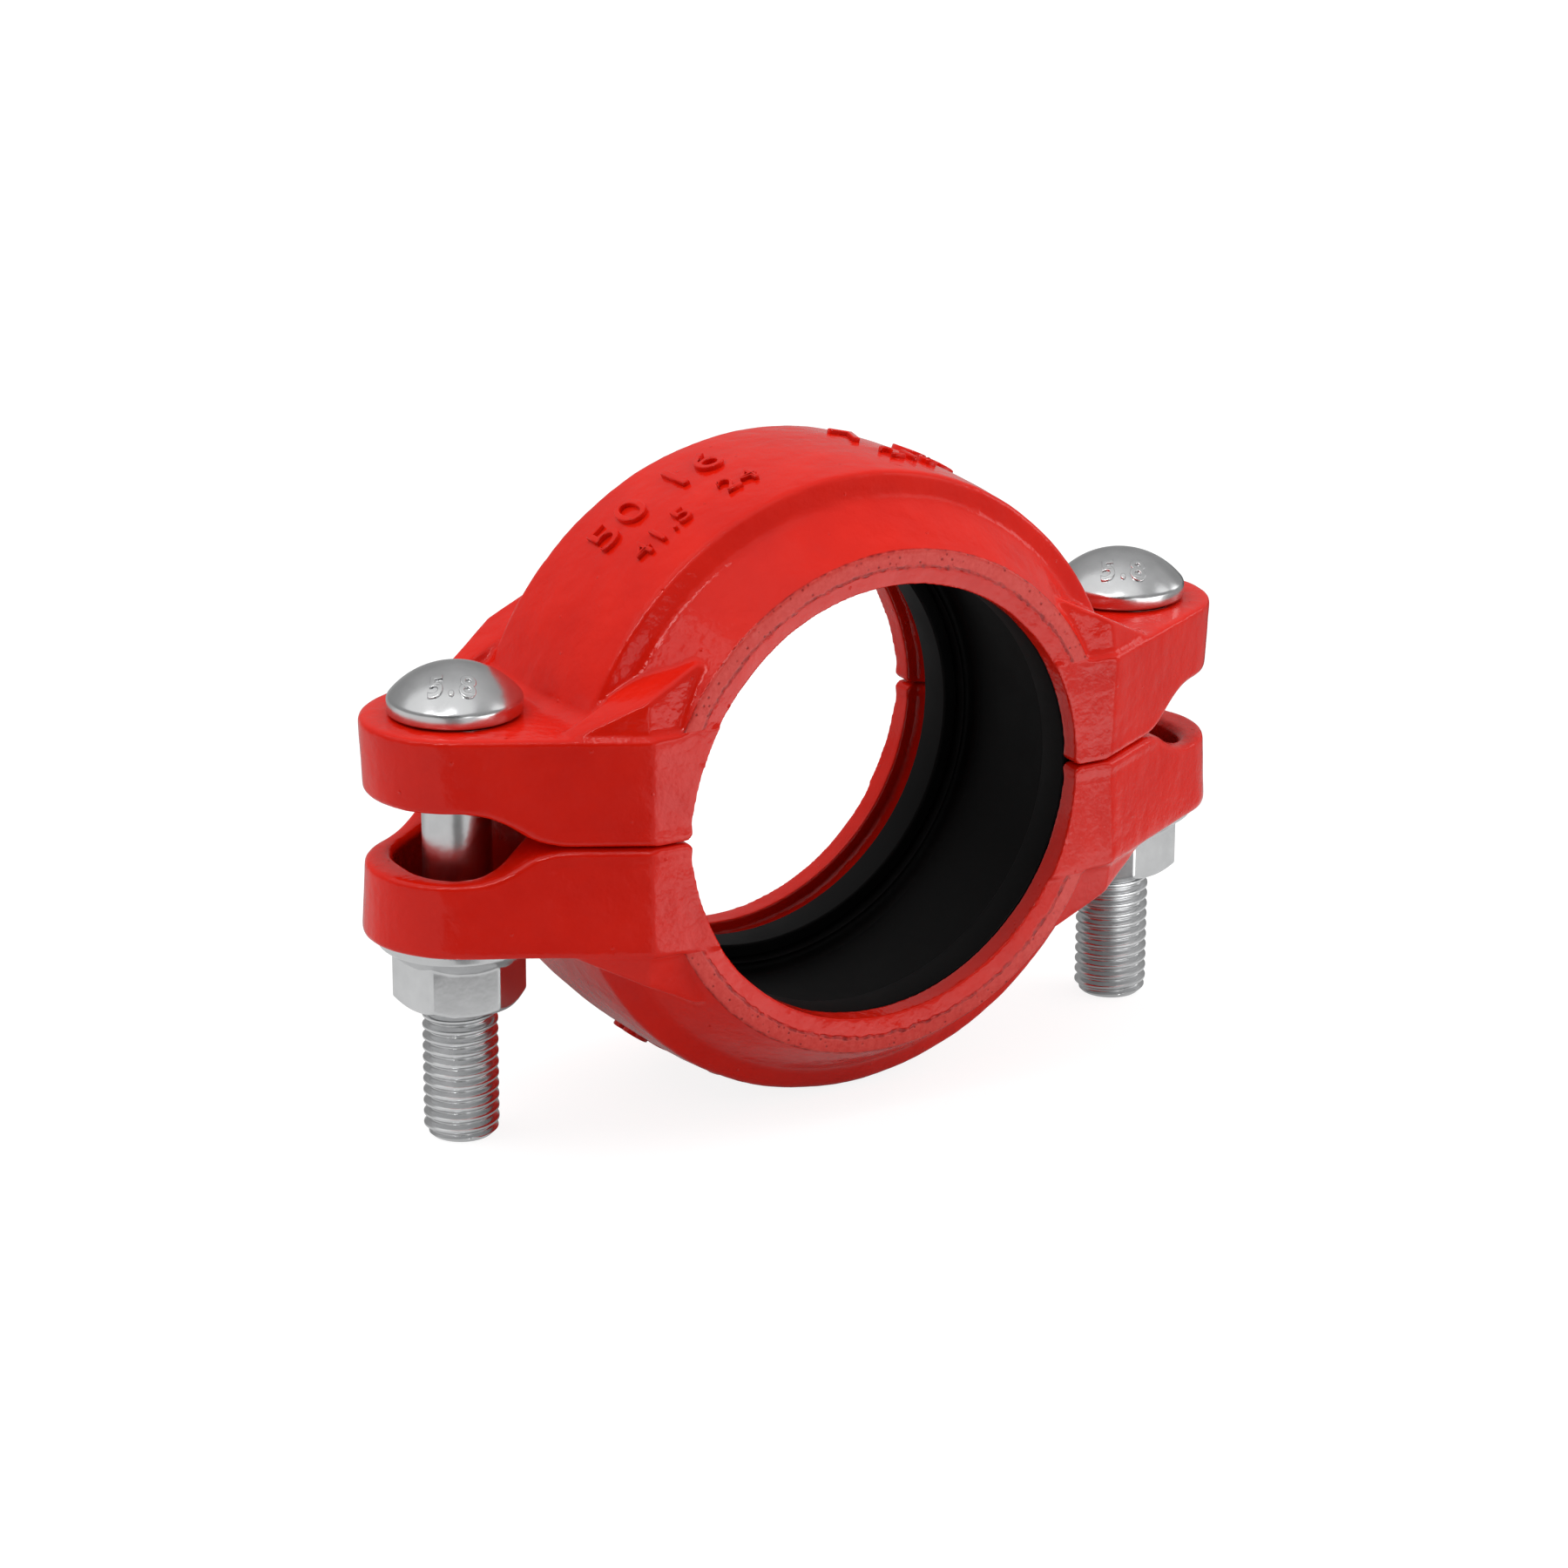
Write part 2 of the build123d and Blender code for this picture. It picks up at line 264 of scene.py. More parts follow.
def rounded(corners, radii, steps):
    """Closed profile with its corners rounded, each by its own radius."""
    out, n = [], len(corners)
    for i, (corner, radius) in enumerate(zip(corners, radii)):
        p, a, b = np.array(corner), np.array(corners[i - 1]), np.array(corners[(i + 1) % n])
        u, w = (a - p) / np.linalg.norm(a - p), (b - p) / np.linalg.norm(b - p)
        half = 0.5 * np.arccos(np.clip(u @ w, -1, 1))
        centre = p + (u + w) / np.linalg.norm(u + w) * radius / sin(half)
        first, last = p + u * radius / tan(half), p + w * radius / tan(half)
        a0 = atan2(*(first - centre)[::-1])
        turn = (atan2(*(last - centre)[::-1]) - a0 + pi) % (2 * pi) - pi
        for k in range(steps + 1):
            a = a0 + turn * k / steps
            out.append(tuple(centre + radius * np.array([cos(a), sin(a)])))
    return out


def turned_solid(name, profile, segments):
    """Shell of a profile (radius, height) turned about Z, its first and last points on the axis."""
    points, faces = [(0, 0, profile[0][1]), (0, 0, profile[-1][1])], []
    inner = profile[1:-1]
    for r, z in inner:
        angles = [2 * pi * k / segments for k in range(segments)]
        points += [(r * cos(a), r * sin(a), z) for a in angles]

    def ring(i, k):
        return 2 + i * segments + k % segments

    for k in range(segments):
        faces.append((0, ring(0, k), ring(0, k + 1)))
        for i in range(len(inner) - 1):
            faces.append((ring(i, k), ring(i + 1, k), ring(i + 1, k + 1), ring(i, k + 1)))
        faces.append((1, ring(len(inner) - 1, k + 1), ring(len(inner) - 1, k)))
    return shell_mesh(name, points, faces)


def turned_ring(name, profile, segments):
    """Shell of a closed profile (radius, place along Y) turned about the pipe axis, its points clockwise."""
    points, faces, n = [], [], len(profile)
    for k in range(segments):
        a = 2 * pi * k / segments
        points += [(r * cos(a), y, r * sin(a)) for r, y in profile]

    def at(k, i):
        return (k % segments) * n + i % n

    for k in range(segments):
        for i in range(n):
            faces.append((at(k, i), at(k + 1, i), at(k + 1, i + 1), at(k, i + 1)))
    return shell_mesh(name, points, faces)


def lofted(name, rings):
    """Shell through rings of points that lie over each other, closed at both ends."""
    n = len(rings[0])
    points = [p for ring in rings for p in ring]
    faces = [tuple(range(n))[::-1]]
    for i in range(len(rings) - 1):
        for k in range(n):
            a, b = i * n + k, i * n + (k + 1) % n
            faces.append((a, b, b + n, a + n))
    faces.append(tuple(range((len(rings) - 1) * n, len(rings) * n)))
    return shell_mesh(name, points, faces)


# Nodes


class Tree:
    """Short forms for building a node tree."""

    def __init__(self, name, kind):
        self.tree = bpy.data.node_groups.new(name, kind)

    def socket(self, name, kind, value=None, out=False):
        item = self.tree.interface.new_socket(name, in_out="OUTPUT" if out else "INPUT", socket_type=kind)
        if value is not None:
            item.default_value = value

    def node(self, kind, inputs=None, **settings):
        return add_node(self.tree, kind, inputs, **settings)

    def maths(self, operation, *values, clamp=False):
        node = self.node("ShaderNodeMath", dict(enumerate(values)), operation=operation, use_clamp=clamp)
        return node.outputs[0]


def add_node(tree, kind, inputs=None, **settings):
    """A node with its settings, its input values and the links into it."""
    node = tree.nodes.new(kind)
    for key, value in settings.items():
        setattr(node, key, value)
    for key, value in (inputs or {}).items():
        if isinstance(value, bpy.types.NodeSocket):
            tree.links.new(value, node.inputs[key])
        else:
            node.inputs[key].default_value = value
    return node


def scaled(tree, value, factor, shift=0.0):
    """A value times a factor, plus a shift."""
    node = add_node(tree, "ShaderNodeMath", {0: value, 1: factor, 2: shift}, operation="MULTIPLY_ADD")
    return node.outputs[0]


def stepped(tree, value, low, high, shape="LINEAR"):
    """0 at the low value and 1 at the high one, and level beyond them."""
    node = add_node(tree, "ShaderNodeMapRange", {"Value": value, "From Min": low, "From Max": high},
                    interpolation_type=shape)
    return node.outputs[0]


def smooth_step(tree, value, low, high):
    """0 at the low value and 1 at the high one, with a soft start and end."""
    return stepped(tree, value, low, high, "SMOOTHSTEP")


def summed(tree, *values, operation="ADD"):
    """Sum of several values, or another of Math's operations run through them."""
    total = values[0]
    for value in values[1:]:
        total = add_node(tree, "ShaderNodeMath", {0: total, 1: value}, operation=operation).outputs[0]
    return total


def times(tree, *values):
    """Product of several values."""
    return summed(tree, *values, operation="MULTIPLY")


def largest(tree, *values):
    """Largest of several values."""
    return summed(tree, *values, operation="MAXIMUM")


def socket_ids(tree):
    """Identifier of each input of a tree, by its name."""
    return {s.name: s.identifier for s in tree.interface.items_tree if s.in_out == "INPUT"}


def with_nodes(piece, tree, **values):
    """The piece with a Geometry Nodes tree and its inputs set, turned into plain mesh."""
    modifier = piece.modifiers.new(tree.name, "NODES")
    modifier.node_group = tree
    ids = socket_ids(tree)
    for name, value in values.items():
        modifier[ids[name]] = value
    return baked(piece)


def cast_surface_tree():
    """Uneven skin of a painted casting: soft lumps and fine ripple, always inwards, and level on the pads."""
    t = Tree("Cast surface", "GeometryNodeTree")
    t.socket("Geometry", "NodeSocketGeometry")
    t.socket("Lump Size", "NodeSocketFloat", 6.5 * MM)
    t.socket("Lump Depth", "NodeSocketFloat", 0.24 * MM)
    t.socket("Ripple Size", "NodeSocketFloat", 2.0 * MM)
    t.socket("Ripple Depth", "NodeSocketFloat", 0.07 * MM)
    t.socket("Pad Height", "NodeSocketFloat", 0.8 * MM)
    t.socket("Least Depth", "NodeSocketFloat", 0.04 * MM)
    t.socket("Seed", "NodeSocketFloat", 0.0)
    t.socket("Material", "NodeSocketMaterial")
    t.socket("Geometry", "NodeSocketGeometry", out=True)
    given = t.node("NodeGroupInput").outputs
    position = t.node("GeometryNodeInputPosition").outputs[0]
    moves = []
    for size, depth, detail in (("Lump Size", "Lump Depth", 1.0), ("Ripple Size", "Ripple Depth", 2.0)):
        scale = t.maths("DIVIDE", 1.0, given[size])
        noise = t.node("ShaderNodeTexNoise", {"Vector": position, "W": given["Seed"], "Scale": scale,
                                              "Detail": detail}, noise_dimensions="4D").outputs[0]
        moves.append(t.maths("MULTIPLY", noise, given[depth]))
    height = t.maths("ABSOLUTE", t.node("ShaderNodeSeparateXYZ", {0: position}).outputs[2])
    full = t.maths("MULTIPLY", given["Pad Height"], 3.0)
    free = smooth_step(t.tree, height, given["Pad Height"], full)
    uneven = t.maths("MULTIPLY", t.maths("ADD", *moves), free)
    depth = t.maths("MULTIPLY", t.maths("ADD", uneven, given["Least Depth"]), -1.0)
    normal = t.node("GeometryNodeInputNormal").outputs[0]
    offset = t.node("ShaderNodeVectorMath", {0: normal, "Scale": depth}, operation="SCALE").outputs[0]
    moved = t.node("GeometryNodeSetPosition", {"Geometry": given["Geometry"], "Offset": offset}).outputs[0]
    plain = t.node("GeometryNodeRealizeInstances", {"Geometry": moved}).outputs[0]
    last = t.node("GeometryNodeSetMaterial", {"Geometry": plain, "Material": given["Material"]}).outputs[0]
    t.node("NodeGroupOutput", {"Geometry": last})
    return t.tree


def thread_tree():
    """Rolled thread standing on z = 0: a grid wrapped round the axis with its rows along the helix."""
    t = Tree("Rolled thread", "GeometryNodeTree")
    t.socket("Length", "NodeSocketFloat", THREAD_LENGTH)
    t.socket("Radius", "NodeSocketFloat", THREAD_RADIUS)
    t.socket("Depth", "NodeSocketFloat", THREAD_DEPTH)
    t.socket("Pitch", "NodeSocketFloat", THREAD_PITCH)
    t.socket("Tip", "NodeSocketFloat", THREAD_TIP)
    t.socket("Segments", "NodeSocketInt", 72)
    t.socket("Rows Per Turn", "NodeSocketInt", 12)
    t.socket("Material", "NodeSocketMaterial")
    t.socket("Geometry", "NodeSocketGeometry", out=True)
    g = t.node("NodeGroupInput").outputs
    turns = t.maths("ADD", t.maths("DIVIDE", g["Length"], g["Pitch"]), 1.0)
    rows = t.maths("ADD", t.maths("ROUND", t.maths("MULTIPLY", turns, g["Rows Per Turn"])), 1.0)
    grid = t.node("GeometryNodeMeshGrid", {"Size X": 1.0, "Size Y": 1.0, "Vertices Y": rows,
                                           "Vertices X": t.maths("ADD", g["Segments"], 1.0)}).outputs[0]
    place = t.node("ShaderNodeSeparateXYZ", {0: t.node("GeometryNodeInputPosition").outputs[0]}).outputs
    u = t.maths("ADD", place[0], 0.5)
    v = t.maths("ADD", place[1], 0.5)
    along = t.maths("SUBTRACT", t.maths("MULTIPLY", v, turns), 1.0)
    height = t.maths("MULTIPLY", t.maths("ADD", along, u), g["Pitch"])
    height = t.maths("MINIMUM", t.maths("MAXIMUM", height, 0.0), g["Length"])
    phase = t.maths("FRACT", t.maths("ADD", along, 100.0))
    away = t.maths("ABSOLUTE", t.maths("MULTIPLY_ADD", phase, 2.0, -1.0))
    valley = smooth_step(t.tree, away, 0.12, 0.95)
    left = t.maths("DIVIDE", t.maths("SUBTRACT", g["Length"], height), g["Pitch"])
    fade = stepped(t.tree, left, 0.2, 2.5)
    cut = t.maths("MULTIPLY", t.maths("MULTIPLY", valley, g["Depth"]), fade)
    radius = t.maths("SUBTRACT", g["Radius"], cut)
    tip = t.maths("ADD", t.maths("SUBTRACT", g["Radius"], g["Tip"]), height)
    radius = t.maths("SMOOTH_MIN", radius, tip, 0.12 * MM)
    inside = t.maths("MULTIPLY", t.maths("GREATER_THAN", v, 1e-5), t.maths("LESS_THAN", v, 1 - 1e-5))
    radius = t.maths("MULTIPLY", radius, inside)
    angle = t.maths("MULTIPLY", u, 2 * pi)
    spot = t.node("ShaderNodeCombineXYZ", {0: t.maths("MULTIPLY", radius, t.maths("COSINE", angle)),
                                           1: t.maths("MULTIPLY", radius, t.maths("SINE", angle)),
                                           2: height}).outputs[0]
    wrapped = t.node("GeometryNodeSetPosition", {"Geometry": grid, "Position": spot}).outputs[0]
    closed = t.node("GeometryNodeMergeByDistance", {"Geometry": wrapped, "Distance": 1e-7}).outputs[0]
    plain = t.node("GeometryNodeRealizeInstances", {"Geometry": closed}).outputs[0]
    last = t.node("GeometryNodeSetMaterial", {"Geometry": plain, "Material": g["Material"]}).outputs[0]
    t.node("NodeGroupOutput", {"Geometry": last})
    return t.tree


# Materials


def shader_group(name, outputs, inputs):
    """An empty shader group with its outputs, and its inputs with their values."""
    t = Tree(name, "ShaderNodeTree")
    for socket, value in inputs.items():
        t.socket(socket, "NodeSocketVector" if isinstance(value, tuple) else "NodeSocketFloat", value)
    for socket in outputs:
        t.socket(socket, "NodeSocketFloat", out=True)
    return t, t.node("NodeGroupInput").outputs


def speckle_group():
    """Two sizes of noise on the piece's own place: a soft cloud and a fine grain, each from 0 to 1."""
    t, g = shader_group("Speckle", ["Cloud", "Grain"], {"Cloud Size": 4 * MM, "Grain Size": 0.4 * MM,
                                                        "Stretch": (1, 1, 1)})
    place = t.node("ShaderNodeTexCoord").outputs["Object"]
    place = t.node("ShaderNodeVectorMath", {0: place, 1: g["Stretch"]}, operation="MULTIPLY").outputs[0]
    outs = {}
    for name, size, detail, rough in (("Cloud", "Cloud Size", 3.0, 0.5), ("Grain", "Grain Size", 2.0, 0.6)):
        scale = t.maths("DIVIDE", 1.0, g[size])
        noise = t.node("ShaderNodeTexNoise", {"Vector": place, "Scale": scale, "Detail": detail,
                                              "Roughness": rough}).outputs[0]
        outs[name] = t.maths("MULTIPLY_ADD", noise, 2.2, -0.6, clamp=True)
    t.node("NodeGroupOutput", outs)
    return t.tree


def pits_group():
    """Sparse round pits or pimples, 1 in their middle and 0 between them."""
    t, g = shader_group("Pits", ["Pit"], {"Size": 1.5 * MM, "Share": 0.3, "Width": 0.25})
    place = t.node("ShaderNodeTexCoord").outputs["Object"]
    cells = t.node("ShaderNodeTexVoronoi", {"Vector": place, "Scale": t.maths("DIVIDE", 1.0, g["Size"])})
    bump = smooth_step(t.tree, cells.outputs["Distance"], g["Width"], 0.0)
    tone = t.node("ShaderNodeSeparateColor", {0: cells.outputs["Color"]}).outputs[0]
    t.node("NodeGroupOutput", {"Pit": t.maths("MULTIPLY", bump, t.maths("LESS_THAN", tone, g["Share"]))})
    return t.tree


def band_group():
    """Flat ring round the pipe axis on the two end faces, clear of the ears: 1 on it, with wavering edges."""
    t, g = shader_group("Band", ["Band"], {"Inner": RIM_INNER, "Outer": RIM_OUTER, "Face": RIM_FACE,
                                           "Clear": SEAT_Z, "Waver": 0.3 * MM})
    place = t.node("ShaderNodeTexCoord").outputs["Object"]
    x, y, z = t.node("ShaderNodeSeparateXYZ", {0: place}).outputs
    radius = t.maths("SQRT", t.maths("ADD", t.maths("MULTIPLY", x, x), t.maths("MULTIPLY", z, z)))
    waver_size = 1.6 * MM
    noise = t.node("ShaderNodeTexNoise", {"Vector": place, "Scale": 1 / waver_size, "Detail": 2.0}).outputs[0]
    radius = t.maths("ADD", radius, t.maths("MULTIPLY", t.maths("SUBTRACT", noise, 0.5), g["Waver"]))
    soft = 0.08 * MM
    parts = []
    for value, limit, sign in ((radius, g["Inner"], 1), (radius, g["Outer"], -1),
                               (t.maths("ABSOLUTE", y), g["Face"], 1),
                               (t.maths("ABSOLUTE", z), g["Clear"], 1)):
        over = t.maths("MULTIPLY", t.maths("SUBTRACT", value, limit), sign)
        parts.append(stepped(t.tree, over, -soft, soft))
    t.node("NodeGroupOutput", {"Band": times(t.tree, *parts)})
    return t.tree


def hole_group():
    """Inside of the two bolt holes: 1 within an oval that widens towards the pads, 0 elsewhere."""
    t, g = shader_group("Hole", ["Hole"], {"Centre": BOLT_X, "Half Width": HOLE_HALF_WIDTH, "Seat": SEAT_Z,
                                           "Straight": HOLE_STRAIGHT, "Taper": HOLE_TAPER})
    place = t.node("ShaderNodeTexCoord").outputs["Object"]
    x, y, z = t.node("ShaderNodeSeparateXYZ", {0: place}).outputs
    across = t.maths("SUBTRACT", t.maths("ABSOLUTE", x), g["Centre"])
    along = t.maths("MAXIMUM", t.maths("SUBTRACT", t.maths("ABSOLUTE", y), g["Straight"]), 0.0)
    squares = [t.maths("MULTIPLY", side, side) for side in (across, along)]
    away = t.maths("SQRT", t.maths("ADD", *squares))
    deep = t.maths("SUBTRACT", g["Seat"], t.maths("ABSOLUTE", z))
    wall = t.maths("ADD", g["Half Width"], t.maths("MULTIPLY", deep, g["Taper"]))
    over = t.maths("SUBTRACT", wall, away)
    inside = stepped(t.tree, over, -0.3 * MM, 0.05 * MM)
    below = stepped(t.tree, deep, 0.1 * MM, 0.8 * MM)
    t.node("NodeGroupOutput", {"Hole": t.maths("MULTIPLY", inside, below)})
    return t.tree


def material(name):
    """A new material, its node tree and its Principled shader."""
    made = bpy.data.materials.new(name)
    made.use_nodes = True
    tree = made.node_tree
    shader = tree.nodes["Principled BSDF"]
    return made, tree, shader


def group_node(tree, group, **inputs):
    """A group placed in a material with its own values."""
    node = tree.nodes.new("ShaderNodeGroup")
    node.node_tree = group
    for key, value in inputs.items():
        node.inputs[key.replace("_", " ")].default_value = value
    return node.outputs


def blend_colours(tree, factor, first, second):
    """Colour between two colours."""
    node = add_node(tree, "ShaderNodeMix", data_type="RGBA")
    tree.links.new(factor, node.inputs["Factor"])
    for key, value in ((6, first), (7, second)):
        if isinstance(value, bpy.types.NodeSocket):
            tree.links.new(value, node.inputs[key])
        else:
            node.inputs[key].default_value = (*value, 1)
    return node.outputs[2]


def bumped(tree, shader, *heights):
    """Feeds the sum of some values, each with its height in millimetres, to the shader's normal."""
    total = summed(tree, *[scaled(tree, value, height) for value, height in heights])
    bump = add_node(tree, "ShaderNodeBump", {"Height": total, "Distance": MM, "Strength": 1.0})
    tree.links.new(bump.outputs[0], shader.inputs["Normal"])


def red_paint():
    """Gloss red paint with orange peel and pimples, worn rims tinted pink by a painted reflection, fine pits
    and edge lines darkened by painted shade, and painted shade inside the bolt holes.
    """
    made, tree, shader = material("gloss red paint")
    noise = group_node(tree, speckle, Cloud_Size=8 * MM, Grain_Size=0.6 * MM)
    peel = group_node(tree, speckle, Cloud_Size=2.4 * MM, Grain_Size=0.9 * MM)
    pimple = group_node(tree, pits, Size=2.2 * MM, Share=0.3, Width=0.14)["Pit"]
    pore = group_node(tree, pits, Size=0.8 * MM, Share=0.4, Width=0.34)["Pit"]
    rim = group_node(tree, band)["Band"]
    # Thin lines along the rim band's edges, painted dark below as shade in creases.
    inner_line = group_node(tree, band, Inner=RIM_INNER - 0.25 * MM, Outer=RIM_INNER + 0.2 * MM,
                            Waver=0.9 * MM)["Band"]
    outer_line = group_node(tree, band, Inner=RIM_OUTER - 0.1 * MM, Outer=RIM_OUTER + 0.35 * MM,
                            Waver=0.7 * MM)["Band"]
    inside = group_node(tree, hole)["Hole"]
    streaks = group_node(tree, speckle, Cloud_Size=2.6 * MM, Grain_Size=0.7 * MM,
                         Stretch=(1, 1, 0.3))["Cloud"]
    skin = blend_colours(tree, noise["Cloud"], (0.66, 0.0085, 0.0020), (0.74, 0.0125, 0.0034))
    # Worn paint on the rim band, tinted pink as a painted reflection of the studio light on it.
    worn = blend_colours(tree, noise["Grain"], (0.64, 0.040, 0.032), (0.72, 0.075, 0.060))
    skin = blend_colours(tree, rim, skin, worn)
    # Painted shade: the fine pits on the rim and the lines at its edges are painted dark red, as the shade in
    # small hollows.
    lines = times(tree, largest(tree, inner_line, outer_line), peel["Grain"])
    dents = largest(tree, lines, times(tree, pore, rim))
    skin = blend_colours(tree, dents, skin, (0.24, 0.005, 0.004))
    # Painted shade: the inside of the bolt holes is painted near black, as the shade deep in them.
    colour = blend_colours(tree, inside, skin, (0.10, 0.003, 0.003))
    tree.links.new(colour, shader.inputs["Base Color"])
    gloss = scaled(tree, peel["Cloud"], 0.07, 0.12)
    matt = summed(tree, gloss, scaled(tree, rim, 0.14), scaled(tree, inside, 0.3))
    tree.links.new(matt, shader.inputs["Roughness"])
    shader.inputs["IOR"].default_value = 1.36
    shader.inputs["Specular IOR Level"].default_value = 0.42
    bumped(tree, shader, (noise["Cloud"], 0.10), (noise["Grain"], 0.006), (peel["Cloud"], 0.055),
           (peel["Grain"], 0.010), (streaks, 0.020), (pimple, 0.10), (dents, -0.07))
    return made


def zinc_plate():
    """Bright zinc on steel: satin and smooth, with soft clouds and the faintest grain."""
    made, tree, shader = material("zinc plate")
    noise = group_node(tree, speckle, Cloud_Size=3.5 * MM, Grain_Size=0.5 * MM)
    colour = blend_colours(tree, noise["Cloud"], (0.60, 0.605, 0.61), (0.69, 0.695, 0.70))
    tree.links.new(colour, shader.inputs["Base Color"])
    shader.inputs["Metallic"].default_value = 1.0
    tree.links.new(scaled(tree, noise["Cloud"], 0.07, 0.19), shader.inputs["Roughness"])
    bumped(tree, shader, (noise["Cloud"], 0.022), (noise["Grain"], 0.0012))
    return made


def black_rubber():
    """Moulded black rubber: matt with a faint sheen, a little grey bloom and fine grain."""
    made, tree, shader = material("black rubber")
    noise = group_node(tree, speckle, Cloud_Size=5 * MM, Grain_Size=0.3 * MM)
    colour = blend_colours(tree, noise["Cloud"], (0.0022, 0.0022, 0.0022), (0.0045, 0.0045, 0.0048))
    tree.links.new(colour, shader.inputs["Base Color"])
    tree.links.new(scaled(tree, noise["Cloud"], 0.10, 0.48), shader.inputs["Roughness"])
    shader.inputs["IOR"].default_value = 1.3
    shader.inputs["Specular IOR Level"].default_value = 0.2
    bumped(tree, shader, (noise["Cloud"], 0.015), (noise["Grain"], 0.004))
    return made


# Pieces


def flat_figures(text, size, **settings):
    """Mesh of raised figures that lie flat round z = 0, with settings of Blender's text."""
    curve = bpy.data.curves.new("figures", "FONT")
    curve.body = text
    curve.size = size
    for key, value in settings.items():
        setattr(curve, key, value)
    flat = new_piece("figures", curve)
    graph = bpy.context.evaluated_depsgraph_get()
    mesh = bpy.data.meshes.new_from_object(flat.evaluated_get(graph))
    bpy.data.objects.remove(flat)
    return mesh


def raised_digits(text, size, start, place):
    """Raised digits bent round the crown, from an angle off the apex and at a place along the pipe."""
    mesh = flat_figures(text, size, extrude=(DIGIT_HEIGHT + DIGIT_FOOT) / 2 - DIGIT_ROUND,
                        bevel_depth=DIGIT_ROUND, bevel_resolution=3, offset=-DIGIT_THIN,
                        space_character=1.12, resolution_u=8)
    for v in mesh.vertices:
        y = place + v.co.y
        skin = CROWN_RADIUS - CROWN_BULGE * (y / CROWN_HALF_WIDTH) ** 2
        r = skin + v.co.z + (DIGIT_HEIGHT - DIGIT_FOOT) / 2
        a = radians(start) + v.co.x / CROWN_RADIUS
        v.co = (r * sin(a), y, r * cos(a))
    return mesh


def off_the_flats(places):
    """Points of a casting that aren't on its flat rims or pads."""
    x, y, z = np.abs(places).T
    rim = (y >= FLAT_RIM_FACE) & (np.hypot(x, z) <= FLAT_RIM_OUTER)
    return ~rim & (z > FLAT_PAD_HEIGHT)


def ear_roots(places):
    """Points of a casting round the upright edge where an ear leaves the end face."""
    x, y, z = np.abs(places).T
    return (x > ROOT_START) & (x < ROOT_END) & (y > ROOT_FACE) & (z > ROOT_LOW) & (z < ROOT_HIGH)


def casting(name, node, body, flip, seed):
    """A housing as it is cast and painted, with plain raised digits on its crown."""
    digits = joined("digits", [raised_digits(*row) for row in DIGITS])
    if flip:
        digits.transform(Matrix.Rotation(pi, 4, "Y"))
    piece = new_piece(name, merged_copy(node))
    softened(piece, CASTING_VOXEL, CASTING_PASSES, [(off_the_flats, SKIN_PASSES), (ear_roots, ROOT_PASSES)])
    marks = new_piece("marks", digits)
    for part in (piece, marks):
        with_nodes(part, cast_surface, Seed=seed, Material=paint)
    thinned(piece, CASTING_TRIANGLES)
    piece.data = joined(name, [piece.data, marks.data])
    piece.data.materials.append(paint)
    bpy.data.objects.remove(marks)
    shaded(piece)
    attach(piece, body)
    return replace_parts(piece, node)


def neck_ring(height, inset=0.0, steps=24):
    """Points round the oval neck of a bolt, whose long way is along Y."""
    radius = NECK_WIDTH / 2 - inset
    reach = (NECK_LENGTH - NECK_WIDTH) / 2
    ring = []
    for sign, first in ((1, 0.0), (-1, pi)):
        angles = [first + pi * k / steps for k in range(steps + 1)]
        ring += [(radius * cos(a), sign * reach + radius * sin(a), height) for a in angles]
    return ring


def head_dome():
    """Radius of a bolt head's dome, and the height of its centre over the head's foot."""
    rise = HEAD_HEIGHT - HEAD_RIM_HEIGHT
    radius = (HEAD_RADIUS ** 2 + rise ** 2) / (2 * rise)
    return radius, HEAD_HEIGHT - radius


def bolt_head():
    """Domed head of a bolt, its foot at z = 0."""
    dome, centre = head_dome()
    inner = HEAD_RADIUS - HEAD_RIM_ROUND
    round_z = centre + sqrt((dome - HEAD_RIM_ROUND) ** 2 - inner ** 2)
    lean = np.degrees(atan2(round_z - centre, inner))
    profile = [(0, HEAD_HEIGHT)]
    profile += arc((0, centre), dome, 88.5, lean, steps=25)
    profile += arc((inner, round_z), HEAD_RIM_ROUND, lean, 0, steps=6)[1:]
    foot = HEAD_RADIUS - HEAD_FOOT_ROUND
    profile += arc((foot, HEAD_FOOT_ROUND), HEAD_FOOT_ROUND, 0, -90, steps=4)
    profile += [(0, 0)]
    return turned_solid("head", profile[::-1], segments=128)


def head_digits():
    """Small raised digits that follow the dome of a head, read from the front."""
    dome, centre = head_dome()
    mesh = flat_figures(GRADE, GRADE_SIZE, extrude=GRADE_HALF_THICKNESS, bevel_depth=GRADE_ROUND,
                        bevel_resolution=2, align_x="CENTER", space_character=1.2)
    turn = Matrix.Rotation(radians(CAMERA_AZIMUTH), 4, "Z")
    for v in mesh.vertices:
        lift = v.co.z - GRADE_SINK
        place = turn @ Vector((v.co.x, v.co.y - GRADE_REACH, 0))
        out = Vector((place.x, place.y, sqrt(dome ** 2 - place.x ** 2 - place.y ** 2)))
        v.co = out * (1 + lift / dome) + Vector((0, 0, centre))
    return mesh


